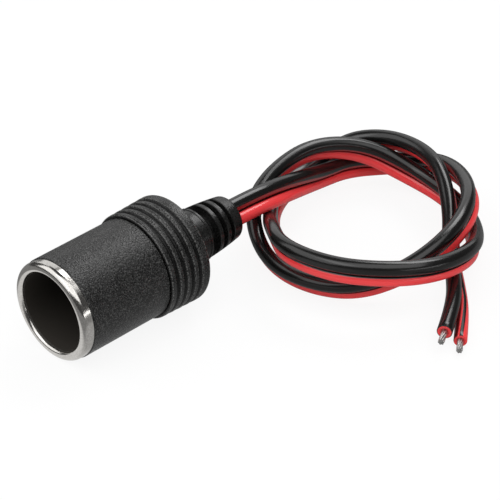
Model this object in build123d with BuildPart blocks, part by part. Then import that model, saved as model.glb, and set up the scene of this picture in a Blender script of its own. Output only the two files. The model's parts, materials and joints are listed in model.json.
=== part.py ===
"""In-line 12 V car power socket with a flat two-core cable, lying on a table.

Millimetres, +Z up. The table is z = 0, the socket points along -X and the cable leaves along +X.
The origin is on the table, under the middle of the socket.
"""

from build123d import *
import math
import os

os.makedirs("parts", exist_ok=True)

# Distances along the socket start at the front of its lip, and radii are about its axis.
clearance = 0.1  # round sleeves, shanks and wires

# Metal shell: the cup that takes the plug
bore_r = 10.5
shell_wall = 0.45
shell_depth = 34.5  # front of the lip to the floor of the cup
floor_round = 2.5
mouth_round = 0.9  # from the bore out to the crest of the rolled lip
lip_step = 0.22  # from the lip out to the barrel
lip_length = 2.9
floor_hole_r = 2.6

# Barrel round the shell
barrel_wall = 2.12
barrel_edge = 0.3
spigot_wall = 1.25  # the part inside the boot

# Rear boot: ring grip, collar and strain relief
contact_room = 3.65  # behind the shell, for the tags and the ends of the wires
floor_seat = 0.4  # how far the boot reaches over the flat of the shell's floor
back_wall = 1.6
grip_step = 0.78  # from the barrel out to the front of the grip
grip_rise = 0.35  # from there out to the last ring
groove_count = 4
groove_first = 2.1  # front of the grip to the middle of the first groove
groove_pitch = 2.37
last_ring = 3.59  # middle of the last groove to the back of the boot
groove_top = 1.45
groove_floor = 0.6
groove_depth = 0.65
ring_round = 0.3
front_round = 0.6  # of the first ring, next to the barrel
shoulder_round = 1.1
collar_r = 7.0
collar_length = 7.9
bead_r = 7.15
bead_length = 0.9
relief_length = 11.5
relief_mid_r = 6.55
relief_end_r = 5.75
relief_round = 1.2
slots = ((0.0, 0.225), (0.335, 0.47), (0.585, 0.695))  # start and end of each, as shares of the relief
slot_floor_r = 4.3
slot_edge = 0.2  # chamfer of the rings between the slots
spine_angle = 16.0

# Contacts
rivet_head_r = 3.4
rivet_head = 1.3
rivet_r = 1.5
rivet_tail_r = 2.3
rivet_tail = 0.5
insulator_r = 5.5
insulator_thick = 0.8
washer_r = 3.5
washer_thick = 1.0
tag_thick = 0.6
tag_width = 4.0
tag_ring_r = 3.1
foot_gap = 0.4  # from the tag's foot to the boot

# Cable: a flat pair, the black half above or beside the red one
wire_r = 1.83
wire_pitch = 3.8
exit_lean = -41.0
exit_run = 6.9
tip_r = 0.8
tip_length = 5.0
red_lead_extra = 2.5  # the red lead is cut longer
corner_share = 0.45  # of the shorter run beside a corner, for its arc

# Route of the middle of the pair after the exit: x from the end of the socket, y, z and lean.
# A lean of 0 stands the black half on the red one, and a positive one tips it to the inside of the loop.
route = (
    (17.8, 1.5, 14.0, -53),
    (30.8, 4.0, 11.5, -50),
    (42.3, 6.5, 6.5, -50),
    (52.8, 7.5, 4.0, -31),
    (61.8, 3.0, 3.8, -11),
    (67.3, -6.0, 6.5, 9),
    (65.3, -18.5, 10.5, 30),
    (56.8, -31.0, 13.0, 11),
    (46.3, -41.0, 15.3, -9),
    (33.8, -44.5, 12.3, -11),
    (20.8, -42.5, 8.0, -2),
    (10.3, -35.5, 4.5, -21),
    (5.3, -24.5, 3.7, -25),
    (4.8, -12.5, 4.0, -24),
    (7.8, -2.0, 6.5, -18),
    (14.8, 6.0, 10.5, -2),
    (26.3, 10.0, 13.0, 8),
    (40.3, 10.0, 14.5, 28),
    (53.3, 4.0, 12.0, 9),
    (60.8, -6.0, 6.5, -2),
    (63.3, -18.5, 3.8, 14),
    (58.8, -31.0, 4.0, -3),
    (46.8, -42.0, 6.0, -18),
    (33.8, -50.5, 11.5, -9),
    (20.8, -52.5, 13.5, -4),
    (9.3, -47.0, 14.0, -4),
    (2.3, -36.0, 14.0, -3),
    (0.8, -23.5, 13.0, -7),
    (6.3, -12.0, 11.5, -24),
    (14.3, -1.5, 6.5, -7),
    (24.3, 8.0, 4.0, -11),
    (36.3, 13.5, 4.0, -16),
    (48.8, 14.5, 5.0, -4),
    (58.3, 10.5, 9.0, 13),
    (62.8, 1.5, 12.5, 31),
    (61.3, -11.0, 14.0, 30),
    (56.8, -23.5, 11.0, 11),
    (48.8, -33.0, 7.5, 17),
    (39.8, -40.5, 4.0, 23),
    (31.8, -49.5, 3.7, 24),
    (22.8, -58.0, 3.5, 40),
    (13.8, -64.0, 2.9, 60),
)

# Radii, from the bore outwards
sleeve_r = bore_r + shell_wall + clearance
barrel_r = sleeve_r + barrel_wall
spigot_r = sleeve_r + spigot_wall
lip_crest_r = bore_r + mouth_round
lip_r = barrel_r - lip_step
grip_front_r = barrel_r + grip_step
grip_r = grip_front_r + grip_rise
cavity_r = bore_r - floor_round - floor_seat
foot_r = cavity_r - foot_gap

# Where things sit along the axis
shell_end = shell_depth + shell_wall
cavity_end = shell_end + contact_room
boot_back = cavity_end + back_wall
groove_last = boot_back - last_ring
barrel_end = groove_last - (groove_count - 1) * groove_pitch - groove_first
grip_taper_end = groove_last + groove_top
collar_end = boot_back + collar_length
length = collar_end + relief_length
tag_plane = shell_end + washer_thick
tail_plane = tag_plane + tag_thick
lead_start = tail_plane + rivet_tail + clearance
wire_reach = wire_pitch / 2 + wire_r

# The socket lies on the barrel's front edge and on the last ring of the grip, so its axis tilts a little.
rest_front = lip_length + barrel_edge
tilt = math.atan2(grip_r - barrel_r, grip_taper_end - rest_front)
face_r = relief_end_r - relief_round
front_x = -lip_crest_r * math.sin(tilt)
back_x = length * math.cos(tilt) + face_r * math.sin(tilt)
axis_dir = Vector(math.cos(tilt), 0, math.sin(tilt))
axis_start = Vector(-(front_x + back_x) / 2, 0, barrel_r * math.cos(tilt) - rest_front * math.sin(tilt))

# Sketches of turned pieces: x along the axis, y the radius
turning = Plane(axis_start, x_dir=axis_dir, z_dir=(0, -1, 0))
turning_axis = Axis(axis_start, axis_dir)


def across(distance):
    """Plane square to the axis, with its x towards the black half of the cable as it leaves."""
    lean = math.radians(exit_lean)
    sideways = Vector(0, 1, 0)
    upright = turning.y_dir
    to_black = upright * math.cos(lean) - sideways * math.sin(lean)
    return Plane(axis_start + axis_dir * distance, x_dir=to_black, z_dir=axis_dir)


def turned(angle):
    """The turning plane, rolled about the axis by an angle from the black half's side."""
    flat = across(0)
    turn = math.radians(angle)
    outward = flat.x_dir * math.cos(turn) + flat.y_dir * math.sin(turn)
    return Plane(axis_start, x_dir=axis_dir, z_dir=axis_dir.cross(outward))


# Socket shell: one bent strip of sheet, turned about the axis
with BuildPart() as socket_shell:
    with BuildSketch(turning) as wall:
        with BuildLine() as sheet:
            roll = lip_r - lip_crest_r
            corner = shell_depth - floor_round
            Line((shell_depth, floor_hole_r), (shell_depth, bore_r - floor_round))
            CenterArc((corner, bore_r - floor_round), floor_round, 0, 90)
            Line((corner, bore_r), (mouth_round, bore_r))
            CenterArc((mouth_round, lip_crest_r), mouth_round, 270, -90)
            CenterArc((roll, lip_crest_r), roll, 180, -90)
            Line((roll, lip_r), (lip_length, lip_r))
            offset(amount=shell_wall, side=Side.RIGHT)
        make_face()
    revolve(axis=turning_axis)
socket_shell.part.label = "socket_shell"
export_step(socket_shell.part, "parts/socket_shell.step")

# Barrel: a tube with a spigot for the boot
with BuildPart() as barrel:
    with BuildSketch(turning) as wall:
        with BuildLine() as outline:
            Polyline(
                (lip_length, sleeve_r),
                (lip_length, barrel_r),
                (barrel_end, barrel_r),
                (barrel_end, spigot_r),
                (shell_end, spigot_r),
                (shell_end, sleeve_r),
                close=True,
            )
        make_face()
        for end in (lip_length, barrel_end):
            fillet(wall.vertices().sort_by_distance((end, barrel_r))[0], barrel_edge)
    revolve(axis=turning_axis)
barrel.part.label = "barrel"
export_step(barrel.part, "parts/barrel.step")

def relief_r(share):
    """Radius of the strain relief at a share of its length, a shallow curve through its middle."""
    bulge = relief_mid_r - (collar_r + relief_end_r) / 2
    return collar_r + (relief_end_r - collar_r) * share + 4 * bulge * share * (1 - share)


# Rings of the grip: the outline of its grooves, from the last to the first
grooves = []
for index in reversed(range(groove_count)):
    middle = barrel_end + groove_first + index * groove_pitch
    crown = grip_front_r + grip_rise * (middle - barrel_end) / (grip_taper_end - barrel_end)
    grooves.append((middle + groove_top / 2, crown))
    grooves.append((middle + groove_floor / 2, crown - groove_depth))
    grooves.append((middle - groove_floor / 2, crown - groove_depth))
    grooves.append((middle - groove_top / 2, crown))

# Rear boot
with BuildPart() as rear_boot:
    with BuildSketch(turning) as half:
        with BuildLine() as outline:
            Polyline(
                (collar_end, collar_r),
                (collar_end, bead_r),
                (collar_end - bead_length, bead_r),
                (collar_end - bead_length, collar_r),
                (boot_back, collar_r),
                (boot_back, grip_r),
                (grip_taper_end, grip_r),
                *grooves,
                (barrel_end, grip_front_r),
                (barrel_end, spigot_r + clearance),
                (shell_end, spigot_r + clearance),
                (shell_end, cavity_r),
                (cavity_end, cavity_r),
                (cavity_end, 0),
                (length, 0),
                (length, relief_end_r),
            )
            ThreePointArc(
                (length, relief_end_r),
                (collar_end + relief_length / 2, relief_mid_r),
                (collar_end, collar_r),
            )
        make_face()
        fillet(half.vertices().sort_by_distance((boot_back, grip_r))[0], shoulder_round)
        fillet(half.vertices().sort_by_distance((length, relief_end_r))[0], relief_round)
        fillet(half.vertices().sort_by_distance((barrel_end, grip_front_r))[0], front_round)
        for corner in grooves:
            fillet(half.vertices().sort_by_distance(corner)[0], ring_round)
    revolve(axis=turning_axis)

    # Windows of the strain relief, on both broad sides of the cable, between two spines
    for side in (0, 180):
        with BuildSketch(turned(side + spine_angle / 2)) as windows:
            for start, end in slots:
                front = collar_end + start * relief_length
                back = collar_end + end * relief_length
                with BuildLine():
                    Polyline(
                        (front - 2 * slot_edge, relief_r(start) + slot_edge),
                        (front, relief_r(start) - slot_edge),
                        (front, slot_floor_r),
                        (back, slot_floor_r),
                        (back, relief_r(end) - slot_edge),
                        (back + 2 * slot_edge, relief_r(end) + slot_edge),
                        close=True,
                    )
                make_face()
        revolve(axis=turning_axis, revolution_arc=180 - spine_angle, mode=Mode.SUBTRACT)

    # Passage for the two wires
    with BuildSketch(across(cavity_end)) as passage:
        with Locations((wire_pitch / 2, 0), (-wire_pitch / 2, 0)):
            Circle(wire_r + clearance)
    extrude(amount=length - cavity_end, mode=Mode.SUBTRACT)
rear_boot.part.label = "rear_boot"
export_step(rear_boot.part, "parts/rear_boot.step")

# Front insulator: a flange on the cup's floor and a neck through its hole
with BuildPart() as front_insulator:
    with BuildSketch(across(shell_depth - insulator_thick)):
        Circle(insulator_r)
    extrude(amount=insulator_thick)
    with BuildSketch(across(shell_depth)):
        Circle(floor_hole_r - clearance)
    extrude(amount=shell_wall)
    with BuildSketch(across(shell_depth - insulator_thick)):
        Circle(rivet_r + clearance)
    extrude(amount=insulator_thick + shell_wall, mode=Mode.SUBTRACT)
front_insulator.part.label = "front_insulator"
export_step(front_insulator.part, "parts/front_insulator.step")

# Rear insulator: a washer behind the floor
with BuildPart() as rear_insulator:
    with BuildSketch(across(shell_end)):
        Circle(washer_r)
        Circle(rivet_r + clearance, mode=Mode.SUBTRACT)
    extrude(amount=washer_thick)
rear_insulator.part.label = "rear_insulator"
export_step(rear_insulator.part, "parts/rear_insulator.step")

# Centre contact: a rivet with a domed head in the cup and a peened tail behind the tag
with BuildPart() as centre_contact:
    with BuildSketch(turning) as half:
        head_plane = shell_depth - insulator_thick
        with BuildLine() as outline:
            TangentArc((head_plane - rivet_head, 0), (head_plane, rivet_head_r), tangent=(0, 1))
            Polyline(
                (head_plane, rivet_head_r),
                (head_plane, rivet_r),
                (tail_plane, rivet_r),
                (tail_plane, rivet_tail_r),
                (tail_plane + rivet_tail, rivet_tail_r),
                (tail_plane + rivet_tail, 0),
                (head_plane - rivet_head, 0),
            )
        make_face()
    revolve(axis=turning_axis)
centre_contact.part.label = "centre_contact"
export_step(centre_contact.part, "parts/centre_contact.step")

# Positive tag: a ring under the rivet's tail and a riser beside the red wire
with BuildPart() as positive_tag:
    with BuildSketch(across(tag_plane)):
        Circle(tag_ring_r)
        with Locations((-(wire_reach + clearance + tag_thick) / 2, 0)):
            Rectangle(wire_reach + clearance + tag_thick, tag_width)
        Circle(rivet_r + clearance, mode=Mode.SUBTRACT)
    extrude(amount=tag_thick)
    with BuildSketch(across(tail_plane)):
        with Locations((-(wire_reach + clearance + tag_thick / 2), 0)):
            Rectangle(tag_thick, tag_width)
    extrude(amount=cavity_end - tail_plane - clearance)
positive_tag.part.label = "positive_tag"
export_step(positive_tag.part, "parts/positive_tag.step")

# Negative tag: a foot on the back of the cup and a riser beside the black wire
with BuildPart() as negative_tag:
    with BuildSketch(across(shell_end)):
        foot = foot_r - wire_reach - clearance
        with Locations((wire_reach + clearance + foot / 2, 0)):
            Rectangle(foot, tag_width)
    extrude(amount=tag_thick)
    with BuildSketch(across(shell_end + tag_thick)):
        with Locations((wire_reach + clearance + tag_thick / 2, 0)):
            Rectangle(tag_thick, tag_width)
    extrude(amount=cavity_end - shell_end - tag_thick - clearance)
negative_tag.part.label = "negative_tag"
export_step(negative_tag.part, "parts/negative_tag.step")


def half_points(side, extra):
    """Route of one half of the pair: side is 1 for the black half and -1 for the red one."""
    leaving = [axis_start + axis_dir * length, axis_start + axis_dir * (length + exit_run)]
    middles = leaving + [Vector(leaving[0].X + x, y, z) for x, y, z, lean in route]
    leans = [exit_lean, exit_lean] + [lean for x, y, z, lean in route]
    points = []
    for index, (middle, lean) in enumerate(zip(middles, leans)):
        before = middles[max(index - 1, 0)]
        after = middles[min(index + 1, len(middles) - 1)]
        ahead = after - before
        left = Vector(-ahead.Y, ahead.X, 0).normalized()
        upright = ahead.cross(left).normalized()
        turn = math.radians(lean)
        to_black = upright * math.cos(turn) - left * math.sin(turn)
        points.append(middle + to_black * (side * wire_pitch / 2))
    points[-1] += (points[-1] - points[-2]).normalized() * extra
    return points


def corner_radii(points):
    """The largest arcs that the runs leave room for."""
    radii = []
    for before, corner, after in zip(points, points[1:], points[2:]):
        turn = math.radians((corner - before).get_angle(after - corner))
        shorter = min((corner - before).length, (after - corner).length)
        radii.append(corner_share * shorter / math.tan(turn / 2))
    return radii


# Both halves of the cable: the lead inside the boot, the wire outside it, and its bare tip
for colour, side, extra in (("black", 1, 0), ("red", -1, red_lead_extra)):
    with BuildPart() as inner_lead:
        with BuildSketch(across(lead_start)):
            with Locations((side * wire_pitch / 2, 0)):
                Circle(wire_r)
        extrude(amount=length - lead_start)
    inner_lead.part.label = colour + "_inner_lead"
    export_step(inner_lead.part, "parts/" + colour + "_inner_lead.step")

    points = half_points(side, extra)
    radii = corner_radii(points)
    with BuildPart() as wire:
        with BuildLine() as path:
            FilletPolyline(*points, radius=radii)
        with BuildSketch(across(length)):
            with Locations((side * wire_pitch / 2, 0)):
                Circle(wire_r)
        sweep()
    wire.part.label = colour + "_wire"
    export_step(wire.part, "parts/" + colour + "_wire.step")
    wire_length = path.wire().length
    ratio = wire.part.volume / (math.pi * wire_r**2 * wire_length)
    print(colour, "length", round(wire_length, 1), "smallest radius", round(min(radii), 1))
    print(colour, "volume over section times length", round(ratio, 4))

    with BuildPart() as tip:
        with BuildSketch(Plane(points[-1], z_dir=points[-1] - points[-2])):
            Circle(tip_r)
        extrude(amount=tip_length)
    tip.part.label = colour + "_tip"
    export_step(tip.part, "parts/" + colour + "_tip.step")
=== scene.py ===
# %% [markdown]
# # An in-line 12 V car power socket, dressed
# The CAD model gives every size and place. This script loads it as a fixed frame and then gives
# it what CAD does not have: a cable with smooth bends, metal that shines and plastic that has
# grain.
# Each cell does one step, and each note before it says what the real thing is like and why the
# step is done this way. Everything is in metres, with the table at z = 0.

# %% Load the frame
import json
import math
import bmesh
import bpy
from mathutils import Matrix, Vector


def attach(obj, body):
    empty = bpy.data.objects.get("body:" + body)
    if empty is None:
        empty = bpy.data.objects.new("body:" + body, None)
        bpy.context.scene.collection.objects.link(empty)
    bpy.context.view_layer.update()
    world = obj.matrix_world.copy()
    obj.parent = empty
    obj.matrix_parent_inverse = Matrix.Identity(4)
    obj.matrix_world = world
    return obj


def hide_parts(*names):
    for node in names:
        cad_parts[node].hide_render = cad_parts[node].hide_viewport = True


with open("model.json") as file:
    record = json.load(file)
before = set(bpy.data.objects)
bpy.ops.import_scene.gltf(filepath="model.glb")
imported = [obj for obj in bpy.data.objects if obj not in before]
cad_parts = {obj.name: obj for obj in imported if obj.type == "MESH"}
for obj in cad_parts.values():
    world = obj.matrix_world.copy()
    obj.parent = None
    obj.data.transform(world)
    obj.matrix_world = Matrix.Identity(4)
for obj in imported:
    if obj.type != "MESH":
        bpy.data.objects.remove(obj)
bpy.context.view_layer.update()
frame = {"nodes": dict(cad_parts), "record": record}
nodes = frame["nodes"]
scene = bpy.context.scene
scene.view_settings.view_transform = "Standard"

# %% [markdown]
# ## The camera
# The photograph was taken with a long lens from the front left, looking down at about 32 degrees.
# A camera is easiest to place by the point it looks at: we go back from that point along the view.
# A track quaternion turns the camera so that its -Z axis points along the view and its Y stays up.

# %% Camera
aim = Vector((0.03946, 0.00183, 0.0))
view_distance = 0.6
elevation = math.radians(31.803)
heading = math.radians(44.639)
forward = Vector((
    math.sin(heading) * math.cos(elevation),
    math.cos(heading) * math.cos(elevation),
    -math.sin(elevation),
))
camera_data = bpy.data.cameras.new("camera")
camera_data.sensor_width = 36.0
camera_data.lens = 166.26
camera = bpy.data.objects.new("camera", camera_data)
camera.location = aim - view_distance * forward
camera.rotation_euler = forward.to_track_quat("-Z", "Y").to_euler()
scene.collection.objects.link(camera)
scene.camera = camera
print("camera at", [round(v, 4) for v in camera.location])

# %% [markdown]
# ## The route of the cable
# The cable is a flat pair: a black wire and a red one, moulded side by side. It leaves the socket,
# goes twice round a loose loop and ends in two bare leads. The CAD source lists the middle of the
# pair, and how far the pair leans, at each bend. These rows follow that list in metres and were
# then moved, by about a millimetre on average, to lie as in the photograph. A lean of 0
# stands the black wire on the red one, and a positive lean tips it to the inside of the loop.

# %% Route rows: x, y, z and lean in degrees
route = (
    (0.0485, 0.0005, 0.0143, -26),
    (0.0598, 0.0039, 0.0106, -4),
    (0.0715, 0.0075, 0.0065, 11),
    (0.0829, 0.0080, 0.0052, 6),
    (0.0921, 0.0027, 0.0044, 16),
    (0.0973, -0.0069, 0.0066, 22),
    (0.0956, -0.0186, 0.0100, 26),
    (0.0877, -0.0312, 0.0128, 25),
    (0.0763, -0.0408, 0.0140, 16),
    (0.0635, -0.0445, 0.0120, -1),
    (0.0506, -0.0425, 0.0080, -15),
    (0.0402, -0.0356, 0.0043, -28),
    (0.0349, -0.0247, 0.0031, -35),
    (0.0341, -0.0124, 0.0033, -33),
    (0.0378, -0.0021, 0.0058, -16),
    (0.0446, 0.0061, 0.0098, 2),
    (0.0562, 0.0100, 0.0130, 18),
    (0.0702, 0.0100, 0.0149, 26),
    (0.0832, 0.0040, 0.0123, 16),
    (0.0906, -0.0060, 0.0065, -2),
    (0.0925, -0.0183, 0.0036, 12),
    (0.0876, -0.0306, 0.0037, -2),
    (0.0771, -0.0427, 0.0062, -10),
    (0.0643, -0.0513, 0.0108, -13),
    (0.0506, -0.0528, 0.0133, -14),
    (0.0389, -0.0473, 0.0146, -10),
    (0.0304, -0.0357, 0.0146, -12),
    (0.0286, -0.0207, 0.0143, -16),
    (0.0362, -0.0098, 0.0122, -18),
    (0.0442, -0.0014, 0.0071, -13),
    (0.0542, 0.0083, 0.0043, -13),
    (0.0655, 0.0144, 0.0032, -13),
    (0.0769, 0.0141, 0.0039, 0),
    (0.0857, 0.0107, 0.0104, 22),
    (0.0922, 0.0016, 0.0127, 38),
    (0.0921, -0.0116, 0.0138, 36),
    (0.0871, -0.0227, 0.0129, 21),
    (0.0787, -0.0330, 0.0075, 17),
    (0.0697, -0.0405, 0.0040, 23),
    (0.0617, -0.0495, 0.0037, 24),
    (0.0527, -0.0580, 0.0035, 40),
    (0.0437, -0.0640, 0.0029, 60),
)
print("route rows", len(route))

# %% [markdown]
# ## Where the cable starts
# The cable comes straight out of the strain relief, along the axis of the socket. The frame
# records that axis with the bore, so we take it from there rather than set it again. Two rows go
# in front of the others: one tucked inside the boot, so that no gap shows, and one outside it.

# %% Socket axis and all rows
mount = frame["record"]["mounts"][0]
axis_dir = -Vector(mount["axis"]).normalized()
bore_middle = Vector(mount["pos_m"])
bore_start = 0.0009
bore_length = mount["dims"]["length_mm"] / 1000
socket_front = bore_middle - axis_dir * (bore_start + bore_length / 2)
mouth_to_end = 0.0596
cable_exit = socket_front + axis_dir * mouth_to_end
tuck_in = 0.003
exit_run = 0.0069
exit_lean = -41.0
second_lean = -36.0

middles = [cable_exit - axis_dir * tuck_in, cable_exit + axis_dir * exit_run]
middles += [Vector(row[:3]) for row in route]
leans = [exit_lean, second_lean] + [row[3] for row in route]
print("rows in all", len(middles), "socket axis", [round(v, 5) for v in axis_dir])

# %% [markdown]
# ## Two smooth lines
# A wire bends smoothly, so each half gets one NURBS curve of order 3 with the rows as its control
# points. The order and the end points are set after the points exist, or Blender would keep
# straight runs. The pair is turned at each row: we step half the pitch from the middle towards
# each half. At the last row the two leads are split a little apart.

# %% Centre lines of both halves
pair_pitch = 0.00362
black_lead_extra = 0.0006
red_lead_extra = 0.0004
lead_split = 1.25
samples_per_row = 12


def half_line(side, extra):
    """Points along one half of the pair: side is 1 for the black half and -1 for the red one."""
    curve = bpy.data.curves.new("half_line", "CURVE")
    curve.dimensions = "3D"
    curve.resolution_u = samples_per_row
    spline = curve.splines.new("NURBS")
    spline.points.add(len(middles) - 1)
    for index, (middle, lean) in enumerate(zip(middles, leans)):
        ahead = middles[min(index + 1, len(middles) - 1)] - middles[max(index - 1, 0)]
        left = Vector((-ahead.y, ahead.x, 0)).normalized()
        upright = ahead.cross(left).normalized()
        turn = math.radians(lean)
        to_black = upright * math.cos(turn) - left * math.sin(turn)
        reach = pair_pitch / 2
        if index == len(middles) - 1:
            middle = middle + ahead.normalized() * extra
            reach *= lead_split
        point = middle + to_black * side * reach
        spline.points[index].co = (*point, 1.0)
    spline.order_u = 3
    spline.use_endpoint_u = True
    holder = bpy.data.objects.new("half_line", curve)
    line = bpy.data.meshes.new_from_object(holder)
    points = [vertex.co.copy() for vertex in line.vertices]
    bpy.data.meshes.remove(line)
    bpy.data.objects.remove(holder)
    return points


def line_length(points):
    """Length along a list of points."""
    return sum((b - a).length for a, b in zip(points, points[1:]))


black_line = half_line(1, black_lead_extra)
red_line = half_line(-1, red_lead_extra)
print("black", round(line_length(black_line), 4), "red", round(line_length(red_line), 4))

# %% [markdown]
# ## Helpers for tubes
# Wires and strands are tubes that grow a ring at a time: the open rim is extruded, and the new
# ring is moved to its place. A curve with a round bevel would be quicker to make, but here the
# colours of the cable need numbers kept on the vertices. A ring on the line is always turned so
# that its first direction looks at the other half.

# %% Tube helpers
def ring_frame(points, partners, index):
    """Matrix that takes a flat ring to one point of the line, its x towards the other half."""
    ahead = points[min(index + 1, len(points) - 1)] - points[max(index - 1, 0)]
    ahead.normalize()
    across = partners[index] - points[index]
    across -= ahead * across.dot(ahead)
    across.normalize()
    face = ahead.cross(across)
    turned = Matrix((across, face, ahead)).transposed().to_4x4()
    return Matrix.Translation(points[index]) @ turned


def grow_rim(shape, rim, move):
    """Extrudes the open rim of a tube and moves the new ring; returns its vertices and edges."""
    grown = bmesh.ops.extrude_edge_only(shape, edges=rim)["geom"]
    ring = [item for item in grown if isinstance(item, bmesh.types.BMVert)]
    fresh = set(ring)
    edges = [item for item in grown if isinstance(item, bmesh.types.BMEdge)
             and item.verts[0] in fresh and item.verts[1] in fresh]
    bmesh.ops.transform(shape, matrix=move, verts=ring)
    return ring, edges


def keep_shape(name, shape):
    """Turns a bmesh into a smooth object at the origin."""
    for face in shape.faces:
        face.smooth = True
    mesh = bpy.data.meshes.new(name)
    shape.to_mesh(mesh)
    shape.free()
    piece = bpy.data.objects.new(name, mesh)
    scene.collection.objects.link(piece)
    return piece


first_ring = ring_frame(black_line, red_line, 0).translation
print("first black ring at", [round(v, 4) for v in first_ring])

# %% [markdown]
# ## Wire skins
# Each half is a soft tube that ends in a clean cut, with red PVC round the conductor. The black
# half has a skin over the red, so it is thicker. Four numbers are kept on each vertex: how much it
# faces the other half, which broad face of the pair it is on, how far along the wire it is, and
# whether it is on the cut. The colours can then follow the cable wherever it twists.

# %% Both wires
black_r = 0.00196
red_r = 0.00170
ring_points = 40
cut_end = (  # share of the radius, step forward, 1 on the cut face
    (0.97, 0.00008, 0.0),
    (0.90, 0.00003, 0.0),
    (0.88, 0.0, 1.0),
    (0.50, 0.0, 1.0),
    (0.44, -0.0003, 1.0),
)


def wire_tube(name, points, partners, side, wire_r):
    """Closed tube along the points, with a cut end."""
    tube = bmesh.new()
    to_twin = tube.verts.layers.float.new("to_twin")
    broad_face = tube.verts.layers.float.new("broad_face")
    along = tube.verts.layers.float.new("along")
    core = tube.verts.layers.float.new("core")
    made = bmesh.ops.create_circle(tube, segments=ring_points, radius=wire_r, cap_ends=True)
    for vertex in made["verts"]:
        vertex[to_twin] = vertex.co.x / wire_r
        vertex[broad_face] = vertex.co.y / wire_r * side
    place = ring_frame(points, partners, 0)
    bmesh.ops.transform(tube, matrix=place, verts=made["verts"])
    rim = list(tube.edges)
    travelled = 0.0
    for index in range(1, len(points)):
        following = ring_frame(points, partners, index)
        travelled += (points[index] - points[index - 1]).length
        ring, rim = grow_rim(tube, rim, following @ place.inverted())
        for vertex in ring:
            vertex[along] = travelled
        place = following
    share = 1.0
    for radius_share, forward_step, is_core in cut_end:
        shrink = Matrix.Diagonal((radius_share / share, radius_share / share, 1, 1))
        shift = Matrix.Translation((0, 0, forward_step))
        ring, rim = grow_rim(tube, rim, place @ shift @ shrink @ place.inverted())
        for vertex in ring:
            vertex[along] = travelled
            vertex[core] = is_core
        share = radius_share
    bmesh.ops.edgeloop_fill(tube, edges=rim)
    bmesh.ops.recalc_face_normals(tube, faces=tube.faces)
    return keep_shape(name, tube)


black_half = wire_tube("black_half", black_line, red_line, 1, black_r)
red_half = wire_tube("red_half", red_line, black_line, -1, red_r)
for piece in (black_half, red_half):
    print(piece.name, len(piece.data.polygons), "faces")

# %% [markdown]
# ## Bare strands
# The last few millimetres of each lead are stripped, and the tinned strands are twisted together.
# One rod with a bump would look flat from near by. So each strand is a small circle, extruded in
# steps that also turn about the middle of the lead, which makes a short helix. Six of them go
# round a straight one in the middle.

# %% Strand bundles
strand_r = 0.00028
bundle_r = 0.00053
strand_sides = 10
strand_steps = 8
outer_strands = 6
bare_length = 0.0043
strip_depth = 0.0010
tip_bevel = 0.0001
bundle_twist = math.radians(100)


def strand_bundle(name, points, partners):
    """Twisted strands out of the cut end of a lead."""
    bundle = bmesh.new()
    step_length = (bare_length + strip_depth) / strand_steps
    step_turn = Matrix.Rotation(bundle_twist / strand_steps, 4, "Z")
    screw = Matrix.Translation((0, 0, step_length)) @ step_turn
    for strand in range(outer_strands + 1):
        made = bmesh.ops.create_circle(bundle, segments=strand_sides, radius=strand_r,
                                       cap_ends=True)["verts"]
        away = bundle_r if strand < outer_strands else 0.0
        bmesh.ops.translate(bundle, vec=(away, 0, -strip_depth), verts=made)
        turn = Matrix.Rotation(math.radians(360 / outer_strands * strand), 4, "Z")
        bmesh.ops.transform(bundle, matrix=turn, verts=made)
        circle = set(made)
        rim = [edge for edge in bundle.edges if edge.verts[0] in circle]
        for step in range(strand_steps):
            ring, rim = grow_rim(bundle, rim, screw)
        end_face = bmesh.ops.edgeloop_fill(bundle, edges=rim)["faces"][0]
        bmesh.ops.bevel(bundle, geom=list(end_face.edges), offset=tip_bevel, offset_type="OFFSET",
                        segments=2, profile=0.5, affect="EDGES", material=-1)
    bmesh.ops.recalc_face_normals(bundle, faces=bundle.faces)
    place = ring_frame(points, partners, len(points) - 1)
    bmesh.ops.transform(bundle, matrix=place, verts=bundle.verts)
    return keep_shape(name, bundle)


black_strands = strand_bundle("black_strands", black_line, red_line)
red_strands = strand_bundle("red_strands", red_line, black_line)
print("strands", len(black_strands.data.polygons), "faces each")

# %% [markdown]
# ## What the new pieces stand for
# The pieces ride on the one body of the part and hide the plain CAD tubes.

# %% Ride and replace
cable_pieces = (
    (black_half, "black_wire", "black_pvc"),
    (red_half, "red_wire", "red_pvc"),
    (black_strands, "black_tip", "tinned_copper"),
    (red_strands, "red_tip", "tinned_copper"),
)
for piece, node, slot in cable_pieces:
    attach(piece, "root")
    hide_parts(node)
halves = (
    (black_half, black_line, black_strands, black_r),
    (red_half, red_line, red_strands, red_r),
)
for piece, line, strands, wire_r in halves:
    print("cord", piece.name, round(line_length(line), 3), "m")

# %% [markdown]
# ## Helpers for node materials
# Every finish below is a node tree. The first helpers make a material with a Principled shader and
# add a node, whose inputs are given plain values or the outputs of other nodes. The rest wrap the
# nodes that come back again and again, so that each finish reads like a short recipe.

# %% Node helpers
def new_finish(name):
    """Material with a Principled shader; returns the material, its node tree and the shader."""
    material = bpy.data.materials.new(name)
    material.use_nodes = True
    tree = material.node_tree
    return material, tree, tree.nodes["Principled BSDF"]


def feed(tree, target, value):
    """Links an output to an input, or sets the input to a plain value."""
    if isinstance(value, bpy.types.NodeSocket):
        tree.links.new(value, target)
    else:
        target.default_value = value


def add(tree, kind, inputs=None, **settings):
    """Adds a node: settings are its properties, and inputs say what each input is given."""
    node = tree.nodes.new(kind)
    for key, value in settings.items():
        setattr(node, key, value)
    for key, value in (inputs or {}).items():
        feed(tree, node.inputs[key], value)
    return node


def calc(tree, operation, *values):
    """Result of a Math node."""
    return add(tree, "ShaderNodeMath", dict(enumerate(values)), operation=operation).outputs[0]


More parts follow.
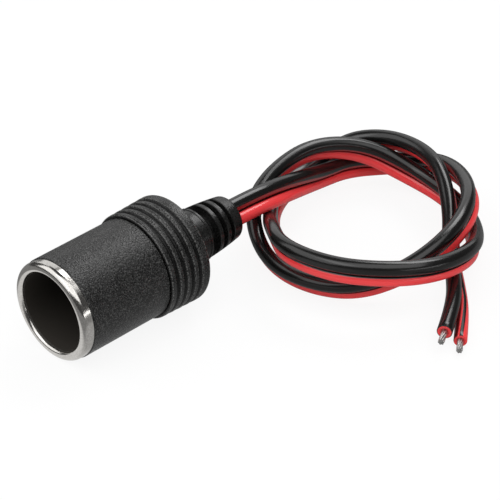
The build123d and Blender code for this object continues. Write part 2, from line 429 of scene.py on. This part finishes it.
def spread(tree, value, start, end, before=0.0, after=1.0):
    """A number that goes from before to after while the value goes from start to end."""
    inputs = {"Value": value, "From Min": start, "From Max": end, "To Min": before,
              "To Max": after}
    return add(tree, "ShaderNodeMapRange", inputs).outputs[0]


def noise(tree, place, scale, detail=2.0, roughness=0.5):
    """Noise at a place."""
    inputs = {"Vector": place, "Scale": scale, "Detail": detail, "Roughness": roughness}
    return add(tree, "ShaderNodeTexNoise", inputs).outputs["Fac"]


print("helpers", [helper.__name__ for helper in (new_finish, feed, add, calc, spread, noise)])

# %% More node helpers
def tone_ramp(tree, value, *stops):
    """Colour that follows a value through stops, each a position and a colour."""
    node = add(tree, "ShaderNodeValToRGB", {"Fac": value})
    elements = node.color_ramp.elements
    elements[0].position = stops[0][0]
    elements[1].position = stops[-1][0]
    for position, colour in stops[1:-1]:
        elements.new(position)
    for element, (position, colour) in zip(elements, stops):
        element.color = (*colour, 1)
    return node.outputs[0]


def blend(tree, share, first, second):
    """Colour that goes from the first to the second as the share goes from 0 to 1."""
    inputs = {"Factor": share, 6: first, 7: second}
    return add(tree, "ShaderNodeMix", inputs, data_type="RGBA").outputs[2]


def object_place(tree):
    """Place on the object, in its own coordinates."""
    return add(tree, "ShaderNodeTexCoord").outputs["Object"]


def bumped(tree, height, strength, distance):
    """Normal of a surface with small relief."""
    inputs = {"Height": height, "Strength": strength, "Distance": distance}
    return add(tree, "ShaderNodeBump", inputs).outputs[0]


print("helpers", [helper.__name__ for helper in (tone_ramp, blend, object_place, bumped)])

# %% [markdown]
# ## Two-colour PVC
# Both wires are moulded from one red PVC, and a thin black skin covers one of them. The skin never
# ends quite at the groove: inside the loop it stops short and leaves a red band on the black wire,
# and outside it runs a little way onto the red one. The numbers kept on the vertices tell the
# nodes how far round the wire a place is, so an edge of the skin is one comparison.

# %% Edges of the black skin, as angles from the groove
skin_blur = 1.5
band_run = (0.010, 0.040)
band_edge = (64.0, 80.0)
strip_run = (0.505, 0.530)
strip_start = (6.0, 50.0)
strip_end = (44.0, 80.0)


def past(tree, value, edge):
    """1 where a value is past an edge and 0 before it, with a narrow blend."""
    return spread(tree, calc(tree, "SUBTRACT", value, edge), -skin_blur, skin_blur)


def black_half_skin(tree, angle, outside, run):
    """All black, but on the face inside the loop the skin stops short of the groove."""
    edge = spread(tree, run, *band_run, *band_edge)
    return calc(tree, "MAXIMUM", past(tree, angle, edge), outside)


def red_half_skin(tree, angle, outside, run):
    """Red, with a strip of the black skin past the groove on the face outside the loop."""
    start = spread(tree, run, *strip_run, *strip_start)
    end = spread(tree, run, *strip_run, *strip_end)
    strip = calc(tree, "MULTIPLY", past(tree, angle, start), past(tree, end, angle))
    return calc(tree, "MULTIPLY", strip, outside)


print("red band up to", band_edge, "degrees, black strip up to", strip_end, "degrees")

# %% [markdown]
# ## Gloss and drawing lines
# An extruder leaves fine lines along a wire. They come from noise in the wire's own coordinates,
# round it and along it, so the lines bend with the cable; noise in space would cut across them.
# Painted shade darkens the red towards the groove, where little light gets in, and darkens the
# black wire's red band too; the cut is always bare red.

# %% Wire PVC
lines_along = 40.0
lines_scale = 3.0
groove_angles = (30.0, 42.0)
# Painted shade: shares of the red's tone left near the groove and on the black wire's band.
pvc_groove_shade = 0.10
band_shade = 0.32
black_tones = ((0.0, (0.0035, 0.0035, 0.0035)), (1.0, (0.0090, 0.0088, 0.0085)))
red_tones = ((0.0, (0.74, 0.040, 0.045)), (1.0, (0.84, 0.058, 0.062)))
pvc_mottle = 1800.0
pvc_blur = (0.16, 0.26)
pvc_sheen = 0.65
pvc_relief = (0.15, 0.00004)


def pvc(name, skin_rule, bare_shade):
    """Glossy PVC in black and red: skin_rule gives the share of black skin at each place."""
    material, tree, shader = new_finish(name)
    twin, face, core, run = [
        add(tree, "ShaderNodeAttribute", attribute_name=key).outputs["Fac"]
        for key in ("to_twin", "broad_face", "core", "along")
    ]
    angle = calc(tree, "DEGREES", calc(tree, "ARCCOSINE", twin))
    outside = calc(tree, "GREATER_THAN", face, 0.0)
    uncut = calc(tree, "LESS_THAN", core, 0.5)
    skin = calc(tree, "MULTIPLY", skin_rule(tree, angle, outside, run), uncut)
    stretched = calc(tree, "MULTIPLY", run, lines_along)
    wire_place = add(tree, "ShaderNodeCombineXYZ", {"X": twin, "Y": face, "Z": stretched})
    lines = noise(tree, wire_place.outputs[0], lines_scale, detail=4.0, roughness=0.55)
    # Painted shade: the red is darkened near the groove and, on the black wire, across its band.
    shaded = spread(tree, angle, *groove_angles, pvc_groove_shade, bare_shade)
    lit = calc(tree, "MAXIMUM", shaded, core)
    red = add(tree, "ShaderNodeVectorMath", {0: tone_ramp(tree, lines, *red_tones), "Scale": lit},
              operation="SCALE").outputs[0]
    colour = blend(tree, skin, red, tone_ramp(tree, lines, *black_tones))
    feed(tree, shader.inputs["Base Color"], colour)
    mottle = noise(tree, object_place(tree), pvc_mottle)
    feed(tree, shader.inputs["Roughness"], spread(tree, mottle, 0.0, 1.0, *pvc_blur))
    feed(tree, shader.inputs["Specular IOR Level"], pvc_sheen)
    feed(tree, shader.inputs["Normal"], bumped(tree, lines, *pvc_relief))
    return material


black_half.data.materials.append(pvc("black_pvc_skin", black_half_skin, band_shade))
red_half.data.materials.append(pvc("red_pvc_skin", red_half_skin, 1.0))
print("PVC on", black_half.name, "and", red_half.name)

# %% [markdown]
# ## Tinned strands
# Tin dulls to a soft grey that is uneven from strand to strand, so the tone and the blur of the
# metal both follow one noise. The brass contacts take the same recipe later, with other numbers.

# %% Tinned strands
def dull_metal(name, tones, scale, detail, blur):
    """Metal whose tone and blur follow one noise."""
    material, tree, shader = new_finish(name)
    shader.inputs["Metallic"].default_value = 1.0
    dull = noise(tree, object_place(tree), scale, detail)
    feed(tree, shader.inputs["Base Color"], tone_ramp(tree, dull, *tones))
    feed(tree, shader.inputs["Roughness"], spread(tree, dull, 0.0, 1.0, *blur))
    return material


tin_tones = ((0.3, (0.36, 0.35, 0.34)), (0.7, (0.72, 0.71, 0.70)))
tinned = dull_metal("tinned_strands", tin_tones, scale=1500.0, detail=3.0, blur=(0.35, 0.55))
for piece in (black_strands, red_strands):
    piece.data.materials.append(tinned)
print("tin on", black_strands.name, "and", red_strands.name)

# %% [markdown]
# ## Places along the socket
# Several finishes change along the socket: the lip is bright and the cup dark, the grip is grained
# and the collar smoother. Two Mapping nodes move the object coordinates to the socket's front and
# turn them level with its axis. Then X is the distance from the mouth, and the length of (Y, Z)
# the radius.

# %% Socket coordinates
tilt = math.atan2(axis_dir.z, axis_dir.x)


def along_socket(tree, place):
    """The distance from the mouth and the radius from the axis."""
    moved = add(tree, "ShaderNodeMapping", {"Vector": place, "Location": tuple(-socket_front)})
    turned = {"Vector": moved.outputs[0], "Rotation": (0, tilt, 0)}
    level = add(tree, "ShaderNodeMapping", turned).outputs[0]
    parts = add(tree, "ShaderNodeSeparateXYZ", {0: level}).outputs
    flat = add(tree, "ShaderNodeCombineXYZ", {"Y": parts["Y"], "Z": parts["Z"]}).outputs[0]
    radius = add(tree, "ShaderNodeVectorMath", {0: flat}, operation="LENGTH").outputs["Value"]
    return parts["X"], radius


def dress(node, material):
    """Gives a CAD node one material."""
    slots = nodes[node].data.materials
    slots.clear()
    slots.append(material)


print("socket tilt", round(math.degrees(tilt), 3), "degrees")

# %% [markdown]
# ## Rings of the grip
# The edges of the grip's rings get a painted highlight, and the grooves between them get painted
# shade and less shine. Painting that by hand would not follow the CAD. So the nodes work out how
# far a place lies below the crowns of the rings, whose radius grows a little towards the back, and
# turn
# that depth into two shares: one of painted edge highlight and one of painted groove shade.

# %% Shares of painted edge highlight and groove shade
grip_front = 0.0274
taper_end = 0.03806
boot_back = 0.0402
first_ring_r = 0.01395
last_ring_r = 0.01430
below_crown = (0.00001, 0.00005)
above_groove = (0.00026, 0.00012)
groove_depths = (0.00020, 0.00070)
grip_fade = (boot_back - 0.0002, boot_back - 0.0006)


def ring_light_shares(tree, from_mouth, radius):
    """Shares of painted edge highlight and painted groove shade, by depth below the crowns."""
    crown = spread(tree, from_mouth, grip_front, taper_end, first_ring_r, last_ring_r)
    depth = calc(tree, "SUBTRACT", crown, radius)
    top, foot = spread(tree, depth, *below_crown), spread(tree, depth, *above_groove)
    sunk = spread(tree, depth, *groove_depths)
    on_grip = spread(tree, from_mouth, *grip_fade)
    return calc(tree, "MULTIPLY", top, foot), calc(tree, "MULTIPLY", sunk, on_grip)


print("grip from", grip_front, "to", boot_back, "m behind the mouth")

# %% [markdown]
# ## Grained plastic
# The barrel and the grip were moulded in a tool with a spark-eroded finish: a dense, fine grain
# that breaks up every highlight into sparks. The grain is one noise in object space, used three
# times: for the bump, the tone and the roughness. The collar and the strain relief are smoother,
# so there the grain is drawn halfway back to its mean.

# %% Moulded plastics
ramp_places = (0.36, 0.52, 0.70)
warm_share = 0.97
grain_mean = 0.5
collar_share = 0.5
grain_fade = 0.001
spark_range = (0.40, 0.60)
# Painted highlight on the ring edges, and painted shade with less shine in the grooves.
highlight_tone = (0.10, 0.10, 0.097, 1)
shade_tone = (0.003, 0.003, 0.003, 1)
groove_sheen = (0.5, 0.16)


def moulded(name, tones, grain_size, grain_depth, rough, has_grip=False):
    """Moulded plastic: three tones of grain, its size and depth, and a range of roughness."""
    material, tree, shader = new_finish(name)
    place = object_place(tree)
    grain = noise(tree, place, 1 / grain_size, detail=1.0)
    if has_grip:
        from_mouth, radius = along_socket(tree, place)
        share = spread(tree, from_mouth, boot_back, boot_back + grain_fade, 1.0, collar_share)
        from_mean = calc(tree, "SUBTRACT", grain, grain_mean)
        grain = calc(tree, "MULTIPLY_ADD", from_mean, share, grain_mean)
    stops = [(at, (tone, tone, tone * warm_share)) for at, tone in zip(ramp_places, tones)]
    colour = tone_ramp(tree, grain, *stops)
    if has_grip:
        # Painted light: ring edges get a painted highlight, grooves painted shade and less shine.
        edge, groove = ring_light_shares(tree, from_mouth, radius)
        edge_highlight = calc(tree, "MULTIPLY", edge, spread(tree, grain, *spark_range))
        colour = blend(tree, edge_highlight, colour, highlight_tone)
        colour = blend(tree, groove, colour, shade_tone)
        sheen = spread(tree, groove, 0.0, 1.0, *groove_sheen)
        feed(tree, shader.inputs["Specular IOR Level"], sheen)
    feed(tree, shader.inputs["Base Color"], colour)
    feed(tree, shader.inputs["Roughness"], spread(tree, grain, 0.0, 1.0, *rough))
    feed(tree, shader.inputs["Normal"], bumped(tree, grain, 1.0, grain_depth))
    return material


fine_grain = 0.00034
satin = (0.22, 0.34)
barrel_tones = (0.002, 0.007, 0.055)
boot_tones = (0.003, 0.007, 0.036)
dress("barrel", moulded("grained_plastic", barrel_tones, fine_grain, 0.00015, satin))
dress("rear_boot", moulded("boot_plastic", boot_tones, fine_grain, 0.00009, satin, has_grip=True))
print("plastics on the barrel and the boot, grain", fine_grain, "m")

# %% [markdown]
# ## Plated metal
# The shell is drawn from thin sheet and nickel plated. The lip is satin: it mirrors the studio
# with blurred, slightly pitted edges. Inside the cup, wherever the radius is that of the bore, the
# metal is mixed with a dark, dull tone.

# %% Nickel shell
cup_start = (0.0006, 0.0013)
cup_wall = (0.01072, 0.01060)
cup_tone = (0.110, 0.100, 0.088, 1)
cup_blur = 0.75
plate_tones = ((0.3, (0.58, 0.56, 0.53)), (0.7, (0.80, 0.78, 0.75)))
plate_blur = (0.10, 0.22)
pit_scale = 2600.0
pit_relief = (0.35, 0.00003)

nickel, tree, shader = new_finish("satin_nickel")
shader.inputs["Metallic"].default_value = 1.0
place = object_place(tree)
from_mouth, radius = along_socket(tree, place)
inside = spread(tree, from_mouth, *cup_start)
cup = calc(tree, "MULTIPLY", inside, spread(tree, radius, *cup_wall))
pits = noise(tree, place, pit_scale, detail=3.0, roughness=0.7)
colour = blend(tree, cup, tone_ramp(tree, pits, *plate_tones), cup_tone)
feed(tree, shader.inputs["Base Color"], colour)
blurred = spread(tree, pits, 0.0, 1.0, *plate_blur)
dulled = add(tree, "ShaderNodeMix", {"Factor": cup, 2: blurred, 3: cup_blur}).outputs[0]
feed(tree, shader.inputs["Roughness"], dulled)
feed(tree, shader.inputs["Normal"], bumped(tree, pits, *pit_relief))
dress("socket_shell", nickel)
print("nickel on the shell, dark inside a radius of", cup_wall[1], "m")

# %% [markdown]
# ## Inside the cup
# Hardly anything inside can be seen, but someone may look straight into the socket: there is a
# brass rivet on a dark fibre washer, and behind the cup the tags and the ends of the leads. They
# take the recipes from above with other numbers.

# %% Contacts and leads
fibre_tones = (0.03, 0.04, 0.06)
lead_tones = (0.004, 0.006, 0.009)
brass_tones = ((0.0, (0.42, 0.33, 0.18)), (1.0, (0.70, 0.58, 0.36)))
coarse_grain = 0.0006
lead_mottle = 900.0

fibre = moulded("fibre_board", fibre_tones, coarse_grain, 0.00004, (0.7, 0.9))
for node in ("front_insulator", "rear_insulator"):
    dress(node, fibre)
brass = dull_metal("contact_brass", brass_tones, scale=700.0, detail=4.0, blur=(0.25, 0.45))
for node in ("centre_contact", "positive_tag", "negative_tag"):
    dress(node, brass)
black_lead = moulded("lead_black", lead_tones, coarse_grain, 0.00002, (0.25, 0.35))
dress("black_inner_lead", black_lead)
red_lead, tree, shader = new_finish("lead_red")
mottle = noise(tree, object_place(tree), lead_mottle)
feed(tree, shader.inputs["Base Color"], tone_ramp(tree, mottle, *red_tones))
dress("red_inner_lead", red_lead)
print("finishes inside", fibre.name, brass.name, black_lead.name, red_lead.name)

# %% [markdown]
# ## Table
# The photograph is a plain product shot on white, with hardly any shadow. The floor is pale. To
# the camera it shows mostly plain white, with a little of its real shading so that the shadow
# stays. Shiny black plastic and metal would lose their shape over an endless white floor, so a
# photographer lays dark cards round them. There are no cards here: to reflections the floor glows
# at a painted dark level, with two soft patches of painted reflection, one near the mouth and one
# beside the barrel.

# %% Floor
floor_half = 1.5
table = bmesh.new()
bmesh.ops.create_grid(table, x_segments=1, y_segments=1, size=floor_half)
floor = keep_shape("floor", table)
print("floor", 2 * floor_half, "m wide")

# %% Floor material
# Painted reflection: the floor glows to glossy rays with these patches and levels.
mouth_patch = (-0.036, 0.010, 0.0)
mouth_reach = 0.030
mouth_level = 0.75
side_patch = (-0.012, -0.032, 0.0)
side_reach = 0.036
side_level = 0.42
reflected_dark = 0.24
full_share = 0.6
white_share = 0.90

paper, tree, shader = new_finish("white_ground")
shader.inputs["Base Color"].default_value = (0.82, 0.82, 0.82, 1)
shader.inputs["Roughness"].default_value = 0.9
shader.inputs["Specular IOR Level"].default_value = 0.1
place = object_place(tree)


def bright_patch(middle, reach, level):
    """Glow of a round patch of painted reflection on the floor, soft at its edge."""
    far = add(tree, "ShaderNodeVectorMath", {0: place, 1: middle}, operation="DISTANCE")
    return spread(tree, far.outputs["Value"], full_share * reach, reach, level, reflected_dark)


# Painted reflection: the glow that reflections see on the floor, by place.
reflected_glow = calc(tree, "MAXIMUM", bright_patch(mouth_patch, mouth_reach, mouth_level),
            bright_patch(side_patch, side_reach, side_level))
rays = add(tree, "ShaderNodeLightPath").outputs
glow = add(tree, "ShaderNodeEmission", {"Strength": 1.0}).outputs[0]
mirrored = add(tree, "ShaderNodeEmission", {"Strength": reflected_glow}).outputs[0]
shown = calc(tree, "MULTIPLY", rays["Is Camera Ray"], white_share)
to_camera = add(tree, "ShaderNodeMixShader", {0: shown, 1: shader.outputs[0], 2: glow}).outputs[0]
ground = add(tree, "ShaderNodeMixShader",
             {0: rays["Is Glossy Ray"], 1: to_camera, 2: mirrored}).outputs[0]
feed(tree, tree.nodes["Material Output"].inputs["Surface"], ground)
floor.data.materials.append(paper)
print("floor patches", mouth_level, "and", side_level, "on", reflected_dark)

# %% [markdown]
# ## World
# The world only fills the shadows. To the camera it is plain white, as the background of the
# photograph is, and to reflections it is nearly dark, so that the lamps draw the highlights.

# %% World
fill_level = 0.45
dark_level = 0.06
world = bpy.data.worlds.new("studio")
scene.world = world
world.use_nodes = True
tree = world.node_tree
background = tree.nodes["Background"]
background.inputs["Color"].default_value = (1, 1, 1, 1)
rays = add(tree, "ShaderNodeLightPath").outputs
level = spread(tree, rays["Is Glossy Ray"], 0.0, 1.0, fill_level, dark_level)
feed(tree, background.inputs["Strength"], calc(tree, "MAXIMUM", level, rays["Is Camera Ray"]))
print("world fill", fill_level, "and", dark_level, "to reflections")

# %% [markdown]
# ## Light
# Five soft boxes: a wide one on the left, a wide key high on the camera's side, a wide one behind,
# a small bright one high behind on the right, and a thin strip low on the right. Between them the
# studio is dark, and shiny metal mirrors those gaps as dark lines. A lamp could be given its
# power, but each box here is given its brightness, so that a new size leaves its reflection as
# bright as it was.

# %% Lamps
boxes = (  # name, bearing from +X, height angle, distance, size, brightness
    ("left_box", 150, 42, 0.75, (1.10, 0.70), 1.2),
    ("key_box", -120, 63, 0.85, (1.40, 0.86), 1.3),
    ("back_box", 45, 28, 0.80, (0.90, 0.60), 0.8),
    ("high_box", 10, 52, 0.80, (0.46, 0.28), 4.6),
    ("strip_box", -80, 5, 0.85, (0.80, 0.08), 2.5),
)
for name, bearing, height, distance, size, brightness in boxes:
    data = bpy.data.lights.new(name, "AREA")
    data.shape = "RECTANGLE"
    data.size, data.size_y = size
    data.energy = brightness * math.pi * size[0] * size[1]
    lamp = bpy.data.objects.new(name, data)
    flat = math.cos(math.radians(height))
    toward = Vector((
        math.cos(math.radians(bearing)) * flat,
        math.sin(math.radians(bearing)) * flat,
        math.sin(math.radians(height)),
    ))
    lamp.location = toward * distance
    lamp.rotation_euler = (-toward).to_track_quat("-Z", "Y").to_euler()
    scene.collection.objects.link(lamp)
